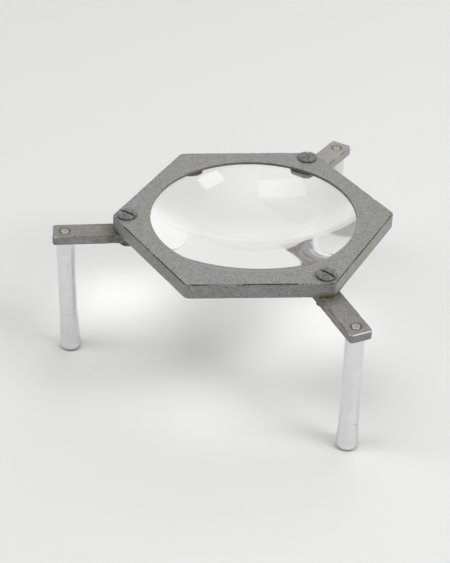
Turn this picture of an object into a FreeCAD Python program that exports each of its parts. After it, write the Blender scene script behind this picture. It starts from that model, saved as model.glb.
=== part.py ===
import FreeCAD, Part
import math
import os

# A desk magnifier, in millimetres. A hexagonal frame holds a plano-convex lens, flat side up, over three
# arms that swing on screws at every second corner, and a round leg is riveted into the end of each arm.
# The origin is on the desk below the middle of the lens, +Z is up and the reader sits on the -Y side.

# Lens
lens_diameter = 100.0
lens_edge = 3.44
lens_curve_radius = 92.0
lens_bevel = 0.3
lens_play = 0.3  # radial room in the frame's pocket

# Hexagonal frame
lip_width = 3.6  # how far the frame reaches in over the lens
lip_thickness = 1.3
rim_wall = 4.7  # from the pocket to the flats
corner_round = 2.6
front_left_corner_round = 3.4
frame_edge_round = 0.45
lip_edge_round = 0.25
screw_from_corner = 6.65

# Arms, measured from their pivot
arm_thickness = 4.2
arm_width = 10.5
arm_to_leg = 28.1
arm_past_leg = 5.6
arm_end_round = 1.7
arm_tail_round = 1.5
arm_edge_round = 0.3
arm_under_lens = 2.8  # how far the inner end reaches in below the lens
arm_below_lens = 0.3  # least room between an arm and the curved face above it, on the whole swing

# Legs
leg_length = 60.3
leg_diameter = 8.3
leg_straight = 30.0
foot_diameter = 9.9
foot_round = 1.5
shoulder_bevel = 0.3

# The riveted end of each leg
spigot_diameter = 4.0
spigot_gap = 0.02
rivet_seat_diameter = 5.3
rivet_seat_depth = 0.6
rivet_sunk = 0.1
rivet_edge_round = 0.35
rivet_dimple_diameter = 1.9
rivet_dimple_depth = 0.25

# Pivot screws, washers and nuts
screw_diameter = 4.8
screw_head_diameter = 9.1
screw_head_side = 1.25
screw_head_dome = 0.65
screw_slot_width = 0.9
screw_slot_depth = 1.1
screw_point = 0.3  # what stands out below the nut
screw_hole_gap = 0.1
pivot_gap = 0.06
thread_gap = 0.02
washer_diameter = 8.6
washer_thickness = 0.5
nut_across_flats = 7.2
nut_thickness = 2.3
nut_chamfer = 0.4

# Lens clips and their screws
clip_width = 9.0
clip_thickness = 1.2
clip_under_lens = 2.9
clip_screw_inset = 4.7  # from the pocket's wall
clip_touch_gap = 0.03
clip_screw_diameter = 3.0
clip_screw_depth = 3.6
clip_hole_spare = 0.8
clip_head_diameter = 5.6
clip_head_height = 1.9
clip_head_bevel = 0.3
clip_slot_width = 0.8
clip_slot_depth = 0.9

# Corners are counted by their direction from the lens in degrees. The swing is how far the arm stands
# off the straight outward line, and the slot is the direction of the screw's slot.
supports = {
    "left": {"corner": 180.0, "swing": 2.0, "slot": -37.5, "nut": 8.0},
    "front": {"corner": -60.0, "swing": -9.0, "slot": -45.4, "nut": 21.0},
    "back": {"corner": 60.0, "swing": -6.4, "slot": 85.0, "nut": -14.0},
}
clips = {
    "right": {"corner": 0.0, "slot": 24.0},
    "back": {"corner": 120.0, "slot": 71.0},
    "front": {"corner": 240.0, "slot": -12.0},
}

# Sizes that follow
lens_radius = lens_diameter / 2
pocket_radius = lens_radius + lens_play
window_radius = lens_radius - lip_width
flat_distance = pocket_radius + rim_wall
clip_screw_distance = pocket_radius + clip_screw_inset
corner_distance = flat_distance / math.cos(math.radians(30))
pivot_distance = corner_distance - screw_from_corner
arm_tail = pivot_distance - (lens_radius - arm_under_lens)
tail_reach = arm_tail_round + math.hypot(arm_tail - arm_tail_round, arm_width / 2 - arm_tail_round)


def sag(radius):
    """How far the lens's curved face has risen, at this radius, above its lowest point."""
    return lens_curve_radius - math.sqrt(lens_curve_radius ** 2 - radius ** 2)


# The pocket goes on below the lens's edge until the swinging arms pass under its curve.
pocket_skirt = sag(lens_radius) - sag(pivot_distance - tail_reach) + arm_below_lens
frame_thickness = lip_thickness + lens_edge + pocket_skirt

arm_bottom = leg_length
arm_top = arm_bottom + arm_thickness
frame_bottom = arm_top
frame_top = frame_bottom + frame_thickness
lens_top = frame_top - lip_thickness
lens_rim_bottom = lens_top - lens_edge
lens_bottom = lens_rim_bottom - sag(lens_radius)


def point(x, y, z=0.0):
    return FreeCAD.Vector(x, y, z)


def line(a, b):
    return Part.LineSegment(a, b).toShape()


def arc(a, middle, b):
    return Part.Arc(a, middle, b).toShape()


def spun(edges):
    """A solid of revolution about Z from the edges of a closed outline in the XZ plane."""
    return Part.Face(Part.Wire(edges)).revolve(point(0, 0), point(0, 0, 1), 360)


def spun_polygon(corners):
    """As spun, from (radius, height) corners joined by straight lines."""
    points = [point(r, 0, z) for r, z in corners]
    return spun([line(a, b) for a, b in zip(points, points[1:] + points[:1])])


def disc(radius, bottom, top):
    return Part.makeCylinder(radius, top - bottom, point(0, 0, bottom))


def box(x0, x1, y0, y1, z0, z1):
    return Part.makeBox(x1 - x0, y1 - y0, z1 - z0, point(x0, y0, z0))


def hexagon(corner_radius, bottom, top):
    """A hexagonal prism about Z with a corner on +X."""
    corners = []
    for k in range(7):
        angle = math.radians(60 * k)
        corners.append(point(corner_radius * math.cos(angle), corner_radius * math.sin(angle), bottom))
    return Part.Face(Part.makePolygon(corners)).extrude(point(0, 0, top - bottom))


def upright_edges(shape):
    return [e for e in shape.Edges if e.BoundBox.ZLength > 0.5 * shape.BoundBox.ZLength
            and e.BoundBox.XLength < 1e-6 and e.BoundBox.YLength < 1e-6]


def edges_at(shape, height):
    """Edges that lie flat at a height."""
    return [e for e in shape.Edges if e.BoundBox.ZLength < 1e-6 and abs(e.BoundBox.ZMin - height) < 1e-6]


def turned(shape, angle, distance=0.0, about=0.0):
    """Turn a shape about its own Z by angle, then set it at a distance from the lens axis towards about."""
    copy = shape.copy()
    copy.rotate(point(0, 0), point(0, 0, 1), angle)
    direction = math.radians(about)
    copy.translate(point(distance * math.cos(direction), distance * math.sin(direction)))
    return copy


def make_lens():
    centre = lens_bottom + lens_curve_radius
    arc_start = lens_radius - lens_bevel

    def on_curve(radius):
        return point(radius, 0, centre - math.sqrt(lens_curve_radius ** 2 - radius ** 2))

    outline = [
        point(0, 0, lens_top),
        point(lens_radius - lens_bevel, 0, lens_top),
        point(lens_radius, 0, lens_top - lens_bevel),
        point(lens_radius, 0, lens_rim_bottom + lens_bevel),
        on_curve(arc_start),
    ]
    edges = [line(a, b) for a, b in zip(outline, outline[1:])]
    edges.append(arc(on_curve(arc_start), on_curve(arc_start / 2), on_curve(0)))
    edges.append(line(on_curve(0), point(0, 0, lens_top)))
    return spun(edges)


def make_frame():
    frame = hexagon(corner_distance, frame_bottom, frame_top)
    front_left = [e for e in upright_edges(frame) if e.BoundBox.XMin < 0 and e.BoundBox.YMin < -1]
    frame = frame.makeFillet(front_left_corner_round, front_left)
    still_sharp = 0.999 * corner_distance
    others = [e for e in upright_edges(frame) if math.hypot(e.BoundBox.XMin, e.BoundBox.YMin) > still_sharp]
    frame = frame.makeFillet(corner_round, others)
    rims = edges_at(frame, frame_top) + edges_at(frame, frame_bottom)
    frame = frame.makeFillet(frame_edge_round, rims)

    frame = frame.cut(disc(window_radius, frame_bottom - 1, frame_top + 1))
    frame = frame.cut(disc(pocket_radius, frame_bottom - 1, lens_top))
    window_edge = [e for e in edges_at(frame, frame_top) if abs(e.BoundBox.XLength - 2 * window_radius) < 0.01]
    frame = frame.makeFillet(lip_edge_round, window_edge)

    screw_hole = disc(screw_diameter / 2 + screw_hole_gap, frame_bottom - 1, frame_top + 1)
    for s in supports.values():
        frame = frame.cut(turned(screw_hole, 0, pivot_distance, s["corner"]))

    hole_top = frame_bottom + clip_screw_depth - clip_thickness + clip_hole_spare
    thread_radius = clip_screw_diameter / 2 + thread_gap
    blind_hole = spun_polygon([
        (0, frame_bottom - 1),
        (thread_radius, frame_bottom - 1),
        (thread_radius, hole_top),
        (0, hole_top + 0.5 * thread_radius),
    ])
    for c in clips.values():
        frame = frame.cut(turned(blind_hole, 0, clip_screw_distance, c["corner"]))
    return frame


def make_arm():
    """An arm about its pivot, pointing outward along +X."""
    half = arm_width / 2
    arm_end = arm_to_leg + arm_past_leg
    arm = box(-arm_tail, arm_end, -half, half, arm_bottom, arm_top)
    outer = [e for e in upright_edges(arm) if e.Vertexes[0].X > 0]
    arm = arm.makeFillet(arm_end_round, outer)
    inner = [e for e in upright_edges(arm) if e.Vertexes[0].X < -arm_tail + 0.01]
    arm = arm.makeFillet(arm_tail_round, inner)
    arm = arm.makeFillet(arm_edge_round, edges_at(arm, arm_top) + edges_at(arm, arm_bottom))
    arm = arm.cut(disc(screw_diameter / 2 + pivot_gap, arm_bottom - 1, arm_top + 1))

    hole_radius = spigot_diameter / 2 + spigot_gap
    seat_radius = rivet_seat_diameter / 2
    rivet_hole = spun_polygon([
        (0, arm_bottom - 1),
        (hole_radius, arm_bottom - 1),
        (hole_radius, arm_top - rivet_seat_depth),
        (seat_radius, arm_top),
        (seat_radius, arm_top + 1),
        (0, arm_top + 1),
    ])
    rivet_hole.translate(point(arm_to_leg, 0))
    return arm.cut(rivet_hole)


def make_leg():
    """A leg about its own axis, standing on the desk, with its rivet end passing up through the arm."""
    radius = leg_diameter / 2
    foot_radius = foot_diameter / 2
    flare_top = leg_length - leg_straight
    flare_height = flare_top - foot_round
    flare = foot_radius - radius
    flare_radius = (flare_height ** 2 + flare ** 2) / (2 * flare)

    def on_flare(below):
        return point(radius + flare_radius - math.sqrt(flare_radius ** 2 - below ** 2), 0, flare_top - below)

    spigot = spigot_diameter / 2
    spigot_top = arm_top - rivet_sunk
    dimple = rivet_dimple_diameter / 2
    slant = math.sqrt(0.5)
    ring = spigot - rivet_edge_round
    foot_ring = foot_radius - foot_round
    edges = [
        line(point(0, 0, 0), point(foot_ring, 0, 0)),
        arc(point(foot_ring, 0, 0), point(foot_ring + foot_round * slant, 0, foot_round * (1 - slant)),
            point(foot_radius, 0, foot_round)),
        arc(on_flare(flare_height), on_flare(flare_height / 2), on_flare(0)),
        line(on_flare(0), point(radius, 0, leg_length - shoulder_bevel)),
        line(point(radius, 0, leg_length - shoulder_bevel), point(radius - shoulder_bevel, 0, leg_length)),
        line(point(radius - shoulder_bevel, 0, leg_length), point(spigot, 0, leg_length)),
        line(point(spigot, 0, leg_length), point(spigot, 0, spigot_top - rivet_edge_round)),
        arc(point(spigot, 0, spigot_top - rivet_edge_round),
            point(ring + rivet_edge_round * slant, 0, spigot_top - rivet_edge_round * (1 - slant)),
            point(ring, 0, spigot_top)),
        line(point(ring, 0, spigot_top), point(dimple, 0, spigot_top)),
        line(point(dimple, 0, spigot_top), point(0, 0, spigot_top - rivet_dimple_depth)),
        line(point(0, 0, spigot_top - rivet_dimple_depth), point(0, 0, 0)),
    ]
    return spun(edges)


def domed_head(radius, bottom, side, dome):
    """The edges of a pan head's outline from its underside's rim up to its middle."""
    top = bottom + side + dome
    dome_radius = (radius ** 2 + dome ** 2) / (2 * dome)
    half = radius / 2
    middle = point(half, 0, top - dome_radius + math.sqrt(dome_radius ** 2 - half ** 2))
    return [
        line(point(radius, 0, bottom), point(radius, 0, bottom + side)),
        arc(point(radius, 0, bottom + side), middle, point(0, 0, top)),
    ]


def make_pivot_screw():
    shank = screw_diameter / 2
    head = screw_head_diameter / 2
    tip = arm_bottom - washer_thickness - nut_thickness - screw_point
    tip_bevel = min(screw_point, shank / 3)
    edges = [
        line(point(0, 0, tip), point(shank - tip_bevel, 0, tip)),
        line(point(shank - tip_bevel, 0, tip), point(shank, 0, tip + tip_bevel)),
        line(point(shank, 0, tip + tip_bevel), point(shank, 0, frame_top)),
        line(point(shank, 0, frame_top), point(head, 0, frame_top)),
    ]
    edges += domed_head(head, frame_top, screw_head_side, screw_head_dome)
    top = frame_top + screw_head_side + screw_head_dome
    edges.append(line(point(0, 0, top), point(0, 0, tip)))
    screw = spun(edges)
    half = screw_slot_width / 2
    return screw.cut(box(-head - 1, head + 1, -half, half, top - screw_slot_depth, top + 1))


def make_washer():
    top = arm_bottom
    bottom = top - washer_thickness
    ring = disc(washer_diameter / 2, bottom, top)
    return ring.cut(disc(screw_diameter / 2 + screw_hole_gap, bottom - 1, top + 1))


def make_nut():
    top = arm_bottom - washer_thickness
    bottom = top - nut_thickness
    corner = nut_across_flats / 2 / math.cos(math.radians(30))
    flat = nut_across_flats / 2
    nut = hexagon(corner, bottom, top)
    chamfers = spun_polygon([
        (0, bottom),
        (flat, bottom),
        (corner, bottom + nut_chamfer),
        (corner, top - nut_chamfer),
        (flat, top),
        (0, top),
    ])
    nut = nut.common(chamfers)
    return nut.cut(disc(screw_diameter / 2 + thread_gap, bottom - 1, top + 1))


def make_clip():
    """A clip about the lens axis, lying towards +X, with its inner end turned up to the lens's curved rim."""
    half = clip_width / 2
    tip = lens_radius - clip_under_lens
    screw_at = clip_screw_distance
    bend = lens_radius - lens_play
    tip_top = lens_bottom + sag(tip) - clip_touch_gap
    rise = tip_top - frame_bottom
    flat_bottom = frame_bottom - clip_thickness
    side = [
        point(screw_at + half, 0, frame_bottom),
        point(bend, 0, frame_bottom),
        point(tip, 0, frame_bottom + rise),
        point(tip, 0, flat_bottom + rise),
        point(bend, 0, flat_bottom),
        point(screw_at + half, 0, flat_bottom),
        point(screw_at + half, 0, frame_bottom),
    ]
    strip = Part.Face(Part.makePolygon(side)).extrude(point(0, clip_width, 0))
    strip.translate(point(0, -half, 0))
    low, high = flat_bottom - 1, tip_top + 1
    outline = box(tip + half, screw_at, -half, half, low, high)
    for x in (tip + half, screw_at):
        end = disc(half, low, high)
        end.translate(point(x, 0))
        outline = outline.fuse(end)
    hole = disc(clip_screw_diameter / 2 + screw_hole_gap, low, high)
    hole.translate(point(screw_at, 0))
    return strip.common(outline.removeSplitter()).cut(hole)


def make_clip_screw():
    """A cheese-head screw about its own axis, driven upward into the frame, with its slot along X."""
    shank = clip_screw_diameter / 2
    head_top = frame_bottom - clip_thickness
    head_bottom = head_top - clip_head_height
    tip = head_top + clip_screw_depth
    bevel = shank / 4
    head = clip_head_diameter / 2
    screw = spun_polygon([
        (0, head_bottom),
        (head - clip_head_bevel, head_bottom),
        (head, head_bottom + clip_head_bevel),
        (head, head_top),
        (shank, head_top),
        (shank, tip - bevel),
        (shank - bevel, tip),
        (0, tip),
    ])
    half = clip_slot_width / 2
    return screw.cut(box(-head - 1, head + 1, -half, half, head_bottom - 1, head_bottom + clip_slot_depth))


nodes = {"frame": make_frame(), "lens": make_lens()}

arm = make_arm()
leg = make_leg()
leg.translate(point(arm_to_leg, 0))
pivot_screw = make_pivot_screw()
washer = make_washer()
nut = make_nut()
for name, s in supports.items():
    outward = s["corner"] + s["swing"]
    nodes["arm_" + name] = turned(arm, outward, pivot_distance, s["corner"])
    nodes["leg_" + name] = turned(leg, outward, pivot_distance, s["corner"])
    nodes["pivot_screw_" + name] = turned(pivot_screw, s["slot"], pivot_distance, s["corner"])
    nodes["pivot_washer_" + name] = turned(washer, 0, pivot_distance, s["corner"])
    nodes["pivot_nut_" + name] = turned(nut, s["nut"], pivot_distance, s["corner"])

clip = make_clip()
clip_screw = make_clip_screw()
for name, c in clips.items():
    nodes["lens_clip_" + name] = turned(clip, c["corner"])
    nodes["clip_screw_" + name] = turned(clip_screw, c["slot"], clip_screw_distance, c["corner"])

os.makedirs("parts", exist_ok=True)
for name, shape in nodes.items():
    shape.exportStep("parts/" + name + ".step")
print("frame", round(2 * flat_distance, 2), "across flats,", round(frame_thickness, 2), "thick,",
      round(frame_top, 2), "high; lens", round(lens_top - lens_bottom, 2), "thick;", len(nodes), "pieces")
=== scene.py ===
import math

import bmesh
import bpy
import numpy as np
from mathutils import Matrix, Vector


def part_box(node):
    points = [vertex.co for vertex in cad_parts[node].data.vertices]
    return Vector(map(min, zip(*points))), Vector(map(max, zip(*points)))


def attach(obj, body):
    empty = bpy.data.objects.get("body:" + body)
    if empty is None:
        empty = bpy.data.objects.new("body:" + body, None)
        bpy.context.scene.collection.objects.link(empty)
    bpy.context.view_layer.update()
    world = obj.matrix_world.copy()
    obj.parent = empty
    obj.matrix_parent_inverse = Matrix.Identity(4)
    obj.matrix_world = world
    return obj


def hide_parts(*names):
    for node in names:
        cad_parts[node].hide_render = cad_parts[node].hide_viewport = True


# A desk magnifier: a speckled grey hexagonal frame with a plano-convex lens, on three arms that swing
# under it, each with a round leg. Lengths in the dictionaries are millimetres, and meshes are metres.
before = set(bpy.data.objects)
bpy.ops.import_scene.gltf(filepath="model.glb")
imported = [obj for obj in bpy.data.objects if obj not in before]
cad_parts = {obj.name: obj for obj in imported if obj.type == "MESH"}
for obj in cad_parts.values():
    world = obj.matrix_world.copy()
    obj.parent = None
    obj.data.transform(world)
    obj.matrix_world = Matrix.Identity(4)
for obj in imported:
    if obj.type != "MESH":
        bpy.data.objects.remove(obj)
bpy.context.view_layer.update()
millimetre = 0.001
mergeDistance = 0.0005  # points closer than this, in millimetres, become one
smoothAngle = 32.0  # edges that turn by more degrees than this stay sharp
noiseCells = 32  # the lattice of random numbers repeats after this many cells
cutPast = 1.0  # how far a cutter goes past the face that it cuts
knockDown = 0.8  # how far a knock goes down or up for each millimetre that it goes in


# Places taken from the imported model
def middleOf(node):
    low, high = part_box(node)
    return (np.array(low) + np.array(high)) / 2 / millimetre


def heightsOf(node):
    low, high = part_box(node)
    return low.z / millimetre, high.z / millimetre


frameBottom, frameTop = heightsOf("frame")
lensBottom, lensTop = heightsOf("lens")
armBottom, armTop = heightsOf("arm_left")
washerBottom = heightsOf("pivot_washer_left")[0]
nutBottom = heightsOf("pivot_nut_left")[0]
screwTip = heightsOf("pivot_screw_left")[0]

# How many degrees each screw's slot and each nut are turned, and how far each arm is polished
supports = {
    "left": {"slot": -37.5, "nut": 8.0, "polish": 0.0},
    "front": {"slot": -45.4, "nut": 21.0, "polish": 0.0},
    "back": {"slot": 85.0, "nut": -14.0, "polish": 0.3},
}
# The frame's corner that each clip is at and how its screw's slot is turned, in degrees
clips = {
    "right": {"corner": 0.0, "slot": 24.0},
    "back": {"corner": 120.0, "slot": 71.0},
    "front": {"corner": 240.0, "slot": -12.0},
}
for name, support in supports.items():
    pivot = middleOf("pivot_washer_" + name)
    leg = middleOf("leg_" + name)
    support["pivot"] = pivot[:2]
    support["leg"] = leg[:2]
    support["outward"] = math.degrees(math.atan2(leg[1] - pivot[1], leg[0] - pivot[0]))
for name, clip in clips.items():
    clip["screw"] = middleOf("clip_screw_" + name)[:2]


# Random height between -1 and 1 at each point: seeded numbers on a cubic lattice of the given size,
# joined by the smooth step 3t^2 - 2t^3 along each direction
def lumpy(points, size, seed):
    table = np.random.default_rng(seed).random((noiseCells, noiseCells, noiseCells)) * 2 - 1
    scaled = np.asarray(points, float) / size
    cell = np.floor(scaled).astype(int)
    blend = scaled - cell
    blend = blend * blend * (3 - 2 * blend)
    total = np.zeros(scaled.shape[:-1])
    for corner in np.ndindex(2, 2, 2):
        weight = np.prod(np.where(np.array(corner) == 1, blend, 1 - blend), axis=-1)
        index = (cell + np.array(corner)) % noiseCells
        total += weight * table[index[..., 0], index[..., 1], index[..., 2]]
    return total


def smoothStep(low, high, values):
    t = np.clip((values - low) / (high - low), 0, 1)
    return t * t * (3 - 2 * t)


# 1 on an edge, falling evenly to 0 at the given reach from it
def nearness(aside, above, reach):
    return np.clip(1 - np.hypot(aside, above) / reach, 0, 1)


# Quads between neighbouring rows and columns of a grid of points, all at once
def gridFaces(rows, columns, wrapRows, wrapColumns, start):
    row, column = np.meshgrid(
        np.arange(rows if wrapRows else rows - 1),
        np.arange(columns if wrapColumns else columns - 1),
        indexing="ij",
    )
    nextRow, nextColumn = (row + 1) % rows, (column + 1) % columns
    corners = [row * columns + column, row * columns + nextColumn,
               nextRow * columns + nextColumn, nextRow * columns + column]
    return start + np.stack(corners, -1).reshape(-1, 4)


# One closed mesh from grids of points in millimetres. Rows that meet in a point or a line are merged,
# and so are the borders where one grid goes on from another.
def makePiece(name, grids, sharpAngle=smoothAngle):
    points, faces, count = [], [], 0
    for grid, wrapRows, wrapColumns in grids:
        rows, columns = grid.shape[:2]
        points.append(grid.reshape(-1, 3))
        faces.append(gridFaces(rows, columns, wrapRows, wrapColumns, count))
        count += rows * columns
    mesh = bpy.data.meshes.new(name)
    mesh.from_pydata((np.concatenate(points) * millimetre).tolist(), [], np.concatenate(faces).tolist())
    work = bmesh.new()
    work.from_mesh(mesh)
    bmesh.ops.remove_doubles(work, verts=work.verts, dist=mergeDistance * millimetre)
    bmesh.ops.recalc_face_normals(work, faces=work.faces)
    work.to_mesh(mesh)
    work.free()
    piece = bpy.data.objects.new(name, mesh)
    bpy.context.scene.collection.objects.link(piece)
    shadeSmooth(mesh, sharpAngle)
    return piece


def shadeSmooth(mesh, sharpAngle):
    mesh.polygons.foreach_set("use_smooth", np.ones(len(mesh.polygons), bool))
    mesh.set_sharp_from_angle(angle=math.radians(sharpAngle))
    mesh.update()


def cutAway(piece, cutter):
    tool = piece.modifiers.new("cut", "BOOLEAN")
    tool.operation, tool.solver, tool.object = "DIFFERENCE", "EXACT", cutter
    whole = piece.data
    finished = piece.evaluated_get(bpy.context.evaluated_depsgraph_get())
    piece.data = bpy.data.meshes.new_from_object(finished)
    piece.modifiers.clear()
    piece.data.name = piece.name
    bpy.data.meshes.remove(whole)
    bpy.data.objects.remove(cutter)
    shadeSmooth(piece.data, smoothAngle)


def meshPoints(piece):
    flat = np.zeros(len(piece.data.vertices) * 3, np.float32)
    piece.data.vertices.foreach_get("co", flat)
    return flat.reshape(-1, 3).astype(float) / millimetre


def storeValues(piece, name, values):
    attribute = piece.data.attributes.new(name, "FLOAT", "POINT")
    attribute.data.foreach_set("value", np.asarray(values, np.float32))


# Turns a grid by degrees about Z and moves its axis to a place
def turned(grid, angle, about):
    c, s = math.cos(math.radians(angle)), math.sin(math.radians(angle))
    x, y = grid[..., 0], grid[..., 1]
    return np.stack([about[0] + c * x - s * y, about[1] + s * x + c * y, grid[..., 2]], -1)


# Each point's place on its own piece, in millimetres: turned back, so that x runs along the piece
def storeOwnPlace(piece, about, angle):
    points = meshPoints(piece)
    c, s = math.cos(math.radians(angle)), math.sin(math.radians(angle))
    x, y = points[:, 0] - about[0], points[:, 1] - about[1]
    places = np.stack([c * x + s * y, c * y - s * x, points[:, 2]], 1)
    attribute = piece.data.attributes.new("ownPlace", "FLOAT_VECTOR", "POINT")
    attribute.data.foreach_set("vector", places.astype(np.float32).ravel())
    return places


# A profile of (radius, height) rows spun about an upright axis: the point is (r cos a, r sin a, z)
def spun(profile, columns, about=(0, 0), wrapRows=False):
    profile = np.asarray(profile, float)
    angle = np.linspace(0, 2 * math.pi, columns, endpoint=False)
    radius, height = profile[:, :1], profile[:, 1:]
    x, y = about[0] + radius * np.cos(angle), about[1] + radius * np.sin(angle)
    return np.stack([x, y, height + 0 * angle], -1), wrapRows, True


def boreProfile(radius, low, high):
    return [(0, low - cutPast), (radius, low - cutPast), (radius, high + cutPast), (0, high + cutPast)]


def rowsBetween(a, b, count):
    t = np.linspace(0, 1, count)[:, None]
    return np.asarray(a, float) * (1 - t) + np.asarray(b, float) * t


# The points of a flat row, all at one height
def atHeight(flat, height):
    return np.concatenate([flat, np.full((len(flat), 1), height)], 1)


# A quarter circle that rounds an edge: how far each row is set in, and how far it has gone down
def edgeRound(radius, count):
    angle = np.linspace(0, math.pi / 2, count)
    return radius * (1 - np.sin(angle)), radius * (1 - np.cos(angle))


# A corner's arc, with the outward direction at each point
def cornerArc(centre, radius, turn):
    out = np.stack([np.cos(turn), np.sin(turn)], 1)
    return np.array(centre) + radius * out, out


# Arcs joined by straight sides into one outline, with the outward direction at each point
def joinArcs(arcs, sideSteps):
    outline, outward = [], []
    for k, steps in enumerate(sideSteps):
        (points, out), following = arcs[k], arcs[(k + 1) % len(arcs)][0]
        outline += [points, rowsBetween(points[-1], following[0], steps + 2)[1:-1]]
        outward += [out, np.repeat(out[-1:], steps, 0)]
    return np.concatenate(outline), np.concatenate(outward)


# Knocks push a rounded edge in, and towards the middle of the piece's height
def pushIn(grid, outward, push, middle):
    grid[..., :2] -= outward * push[..., None]
    grid[..., 2] -= push * np.sign(grid[..., 2] - middle) * knockDown


# Frame. A knock is the size of its lumps and the level that they rise above. Steps set a row just
# beyond a rounded edge, so that the flat beside it stays flat.
frameShape = {
    "toSide": 55.0, "cornerRound": 2.6, "frontLeftRound": 3.4, "edgeRound": 0.45, "edgeStep": 0.12,
    "window": 46.4, "windowRound": 0.25, "windowStep": 0.1, "wallStep": 0.3,
    "lip": 1.3, "lensGap": 0.02, "pocket": 50.3, "pocketEdge": 0.2,
    "pivotHole": 2.5, "clipHole": 1.52, "clipHoleTop": 3.2, "drillPoint": 0.7,
    "knocks": ((2.3, 0.35), (0.9, 0.5)), "knockGain": 1.6, "nick": 0.2, "nickReach": 0.7, "nickUnder": 0.6,
    "seed": 4, "sideSteps": 84, "cornerSteps": 16,
    "edgeReach": 0.75, "grimeAndShadeReach": (6.5, 11.5), "grimeAndShadeHeight": (0.3, 3.2),
}


# The hexagon's outline: six straight sides joined by arcs
def hexagonOutline(shape):
    arcs = []
    for k in range(6):
        roundness = shape["frontLeftRound"] if k == 4 else shape["cornerRound"]
        towards = math.radians(60 * k)
        reach = (shape["toSide"] - roundness) / math.cos(math.radians(30))
        centre = np.array([math.cos(towards), math.sin(towards)]) * reach
        turn = towards + np.radians(np.linspace(-30, 30, shape["cornerSteps"]))
        arcs.append(cornerArc(centre, roundness, turn))
    return joinArcs(arcs, [shape["sideSteps"]] * 6)


# The frame is a ring: for each point of the outline, a loop of rows goes over the top face, down the
# side, in under the frame, up the pocket's wall, in under the lip and up through the window
def makeFrame(shape):
    outline, outward = hexagonOutline(shape)
    spoke = outline / np.linalg.norm(outline, axis=1, keepdims=True)
    window, pocket, edge, step = shape["window"], shape["pocket"], shape["edgeRound"], shape["edgeStep"]
    inset, drop = edgeRound(edge, 7)
    windowInset, windowDrop = edgeRound(shape["windowRound"], 5)
    lipUnder = frameTop - shape["lip"] + shape["lensGap"]

    def outer(distance, height):
        return atHeight(outline - outward * distance, height)

    def inner(radius, height):
        return atHeight(spoke * radius, height)

    topOuter = outer(edge + step, frameTop)
    topInner = inner(window + shape["windowRound"] + shape["windowStep"], frameTop)
    underOuter = outer(edge + step, frameBottom)
    underInner = inner(pocket + shape["pocketEdge"], frameBottom)
    rows = [inner(window + d, frameTop - z) for d, z in zip(windowInset[::-1], windowDrop[::-1])]
    rows += [topInner * (1 - t) + topOuter * t for t in np.linspace(0, 1, 12)]
    rows += [outer(d, frameTop - z) for d, z in zip(inset, drop)]
    rows += [outer(0, z) for z in np.linspace(frameTop - edge - step, frameBottom + edge + step, 10)]
    rows += [outer(d, frameBottom + z) for d, z in zip(inset[::-1], drop[::-1])]
    rows += [underOuter * (1 - t) + underInner * t for t in np.linspace(0, 1, 6)]
    rows += [inner(pocket, z) for z in np.linspace(frameBottom + shape["pocketEdge"], lipUnder, 8)]
    rows += [inner(r, lipUnder) for r in np.linspace(pocket, window, 5)[1:]]
    rows += [inner(window, lipUnder + shape["wallStep"]),
             inner(window, frameTop - shape["windowRound"] - shape["windowStep"])]
    grid = np.stack(rows)

    knock = sum(np.clip(lumpy(grid, size, shape["seed"] + k) - level, 0, 1)
                for k, (size, level) in enumerate(shape["knocks"]))
    fromSide = np.abs((grid[..., :2] * outward).sum(-1) - (outline * outward).sum(-1))
    onEdge = nearness(fromSide, frameTop - grid[..., 2], shape["nickReach"])
    onEdge += shape["nickUnder"] * nearness(fromSide, grid[..., 2] - frameBottom, shape["nickReach"])
    push = shape["nick"] * np.clip(knock * shape["knockGain"], 0, 1) * onEdge
    pushIn(grid, outward, push, (frameTop + frameBottom) / 2)
    return makePiece("hexagonFrame", [(grid, True, True)])


# Upright cutters for the three screws, and blind ones from below for the clips
def frameHoles(shape):
    bore = boreProfile(shape["pivotHole"], frameBottom, frameTop)
    low, top = frameBottom - cutPast, frameBottom + shape["clipHoleTop"]
    blind = [(0, low), (shape["clipHole"], low), (shape["clipHole"], top), (0, top + shape["drillPoint"])]
    grids = [spun(bore, 48, support["pivot"]) for support in supports.values()]
    grids += [spun(blind, 32, clip["screw"]) for clip in clips.values()]
    return makePiece("frameHoles", grids)


# How near each point is to the outer top edge, and where grime and painted shade darken the frame low down by the
# screws' corners, where the arms go in under it
def markFrame(piece, shape):
    points = meshPoints(piece)
    turns = np.radians(np.arange(30, 390, 60))
    fromSide = shape["toSide"] - (points[:, :2] @ np.stack([np.cos(turns), np.sin(turns)])).max(1)
    storeValues(piece, "topEdge", nearness(fromSide, frameTop - points[:, 2], shape["edgeReach"]))
    gaps = [np.linalg.norm(points[:, :2] - support["pivot"], axis=1) for support in supports.values()]
    lowDown = 1 - smoothStep(*shape["grimeAndShadeHeight"], points[:, 2] - frameBottom)
    storeValues(piece, "grimeAndShade", (1 - smoothStep(*shape["grimeAndShadeReach"], np.min(gaps, axis=0))) * lowDown)


hexagonFrame = makeFrame(frameShape)
cutAway(hexagonFrame, frameHoles(frameShape))
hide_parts("frame")
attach(hexagonFrame, "lens_frame")
markFrame(hexagonFrame, frameShape)
print("frame", len(hexagonFrame.data.polygons), "faces")


# Lens
lensShape = {"radius": 50.0, "edge": 3.44, "curve": 92.0, "bevel": 0.3, "sharpAngle": 14.0}


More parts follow.
